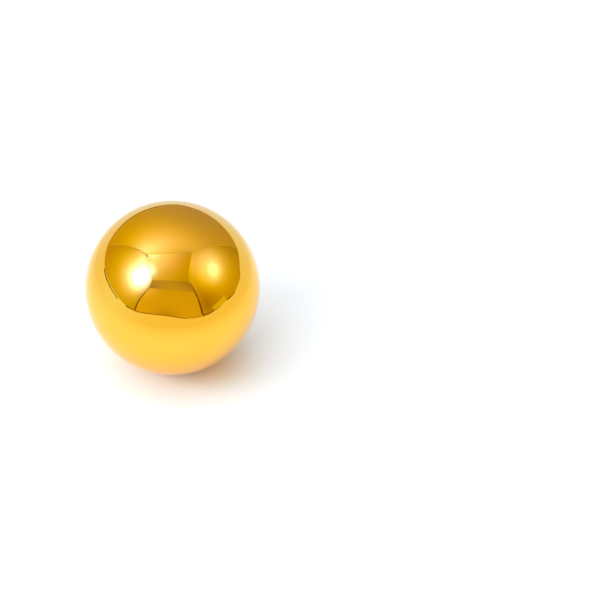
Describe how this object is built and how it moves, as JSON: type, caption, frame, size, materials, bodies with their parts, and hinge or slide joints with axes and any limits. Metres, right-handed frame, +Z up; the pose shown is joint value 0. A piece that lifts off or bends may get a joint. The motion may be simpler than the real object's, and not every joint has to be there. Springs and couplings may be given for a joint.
{
  "type": "ball stud earring",
  "caption": "Polished gold ball stud earring: a hollow round ball on a straight ear post with a small round pad, lying on its ball and post tip.",
  "frame": {"origin": "centre of the stud's bounding box, on the surface that it lies on", "axes": "+Z up; +Y along the surface the way the ear post points, away from the ball; +X to the right of someone who looks at the ball along +Y"},
  "size_m": [0.014, 0.0232, 0.014],
  "materials": {
    "gold_plate": "mirror-polished gold plate",
    "post_plate": "drawn wire, gold plate, lightly polished"
  },
  "bodies": {
    "root": {"ball": "gold_plate", "ear_post": "post_plate"}
  },
  "joints": []
}
